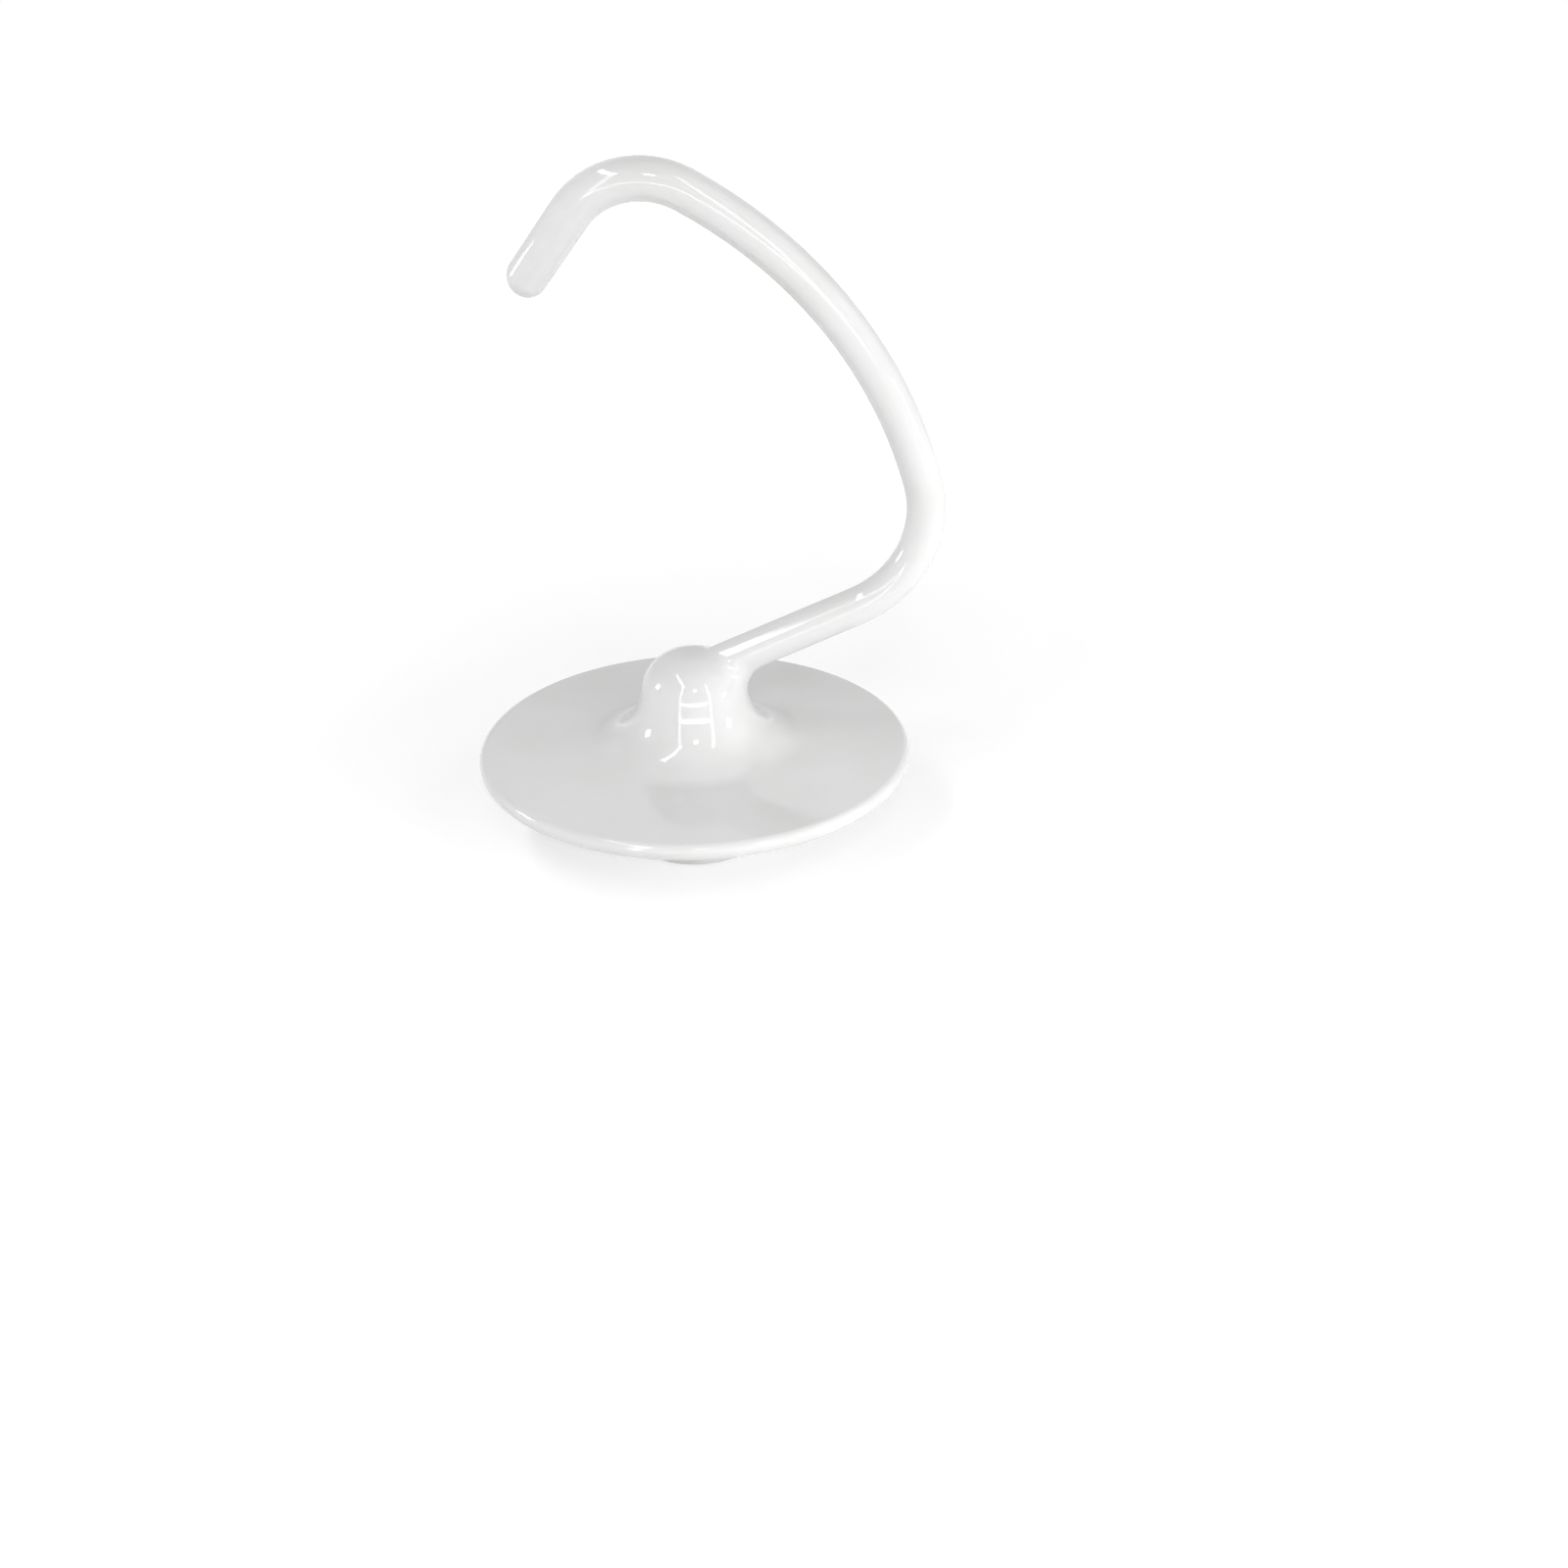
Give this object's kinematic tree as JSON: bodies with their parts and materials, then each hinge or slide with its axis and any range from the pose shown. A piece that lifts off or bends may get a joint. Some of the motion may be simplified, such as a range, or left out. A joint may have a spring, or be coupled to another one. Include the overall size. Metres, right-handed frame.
{
  "type": "stand mixer dough hook",
  "caption": "One-piece white-coated C-shaped dough hook for a tilt-head stand mixer, with a round dough guard and a bayonet hub that slides over the mixer's shaft.",
  "frame": {"origin": "centre of the hub's end face, on the shaft axis, which is the way in for the shaft and its drive pin", "axes": "+Z along the shaft axis from the hub's end towards the hook, +X the way the hook's rod leaves the boss"},
  "size_m": [0.0982, 0.092, 0.1431],
  "materials": {
    "white_coat": "glossy white coat on cast aluminium, bare metal in the bore"
  },
  "bodies": {
    "root": {"dough_hook": "white_coat"}
  },
  "joints": []
}
